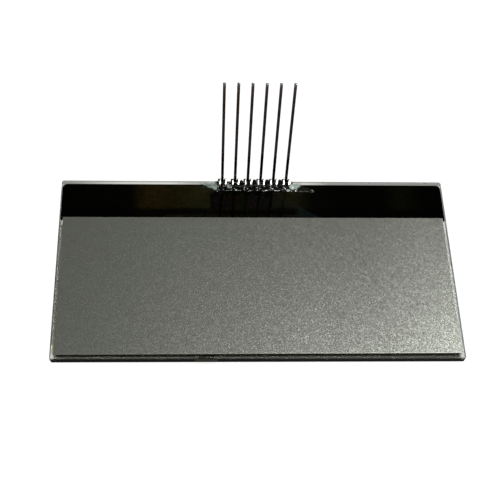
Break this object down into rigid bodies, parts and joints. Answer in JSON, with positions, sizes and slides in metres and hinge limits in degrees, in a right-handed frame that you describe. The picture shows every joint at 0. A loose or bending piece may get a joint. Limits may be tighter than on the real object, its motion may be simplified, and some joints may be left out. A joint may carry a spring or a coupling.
{
  "type": "liquid crystal display panel",
  "caption": "Bare liquid crystal display panel of two glass plates with polarising films, a black-backed glass ledge for the driver chip, and a row of tall clip pins.",
  "frame": {"origin": "centre of the viewing face, the outer face of the front polarising film, on which the panel lies", "axes": "+X along the pin row and the panel's long side, +Y from the viewing area towards the pins, +Z from the viewing face to the back of the panel, along which the pins stand"},
  "size_m": [0.0754, 0.0409, 0.0301],
  "materials": {
    "rear_film": "fine metallic grey grain",
    "front_film": "smooth, slightly glossy grey",
    "plate_glass": "clear, polished, faint green at the edges",
    "seal_resin": "cured resin",
    "liquid": "clear grey liquid layer",
    "plug_resin": "pale yellow cured resin",
    "silicon": "polished dark grey silicon",
    "bond_resin": "cured film",
    "clear_conductor": "thin transparent conductor",
    "black_resin": "opaque black coat",
    "pin_metal": "bright tin plate",
    "paste": "dark conductive paste",
    "clear_resin": "clear, glossy, faint green"
  },
  "bodies": {
    "root": {"chip_bond_film": "bond_resin", "contact_paste_1": "paste", "contact_paste_2": "paste", "contact_paste_3": "paste", "contact_paste_4": "paste", "contact_paste_5": "paste", "contact_paste_6": "paste", "driver_chip": "silicon", "end_seal": "plug_resin", "front_glass": "plate_glass", "front_polariser": "front_film", "input_tracks": "clear_conductor", "light_shield": "black_resin", "liquid_crystal": "liquid", "output_tracks": "clear_conductor", "pin_1": "pin_metal", "pin_2": "pin_metal", "pin_3": "pin_metal", "pin_4": "pin_metal", "pin_5": "pin_metal", "pin_6": "pin_metal", "pin_glue_front": "black_resin", "pin_glue_rear": "clear_resin", "rear_glass": "plate_glass", "rear_polariser": "rear_film", "seal_frame": "seal_resin"}
  },
  "joints": []
}
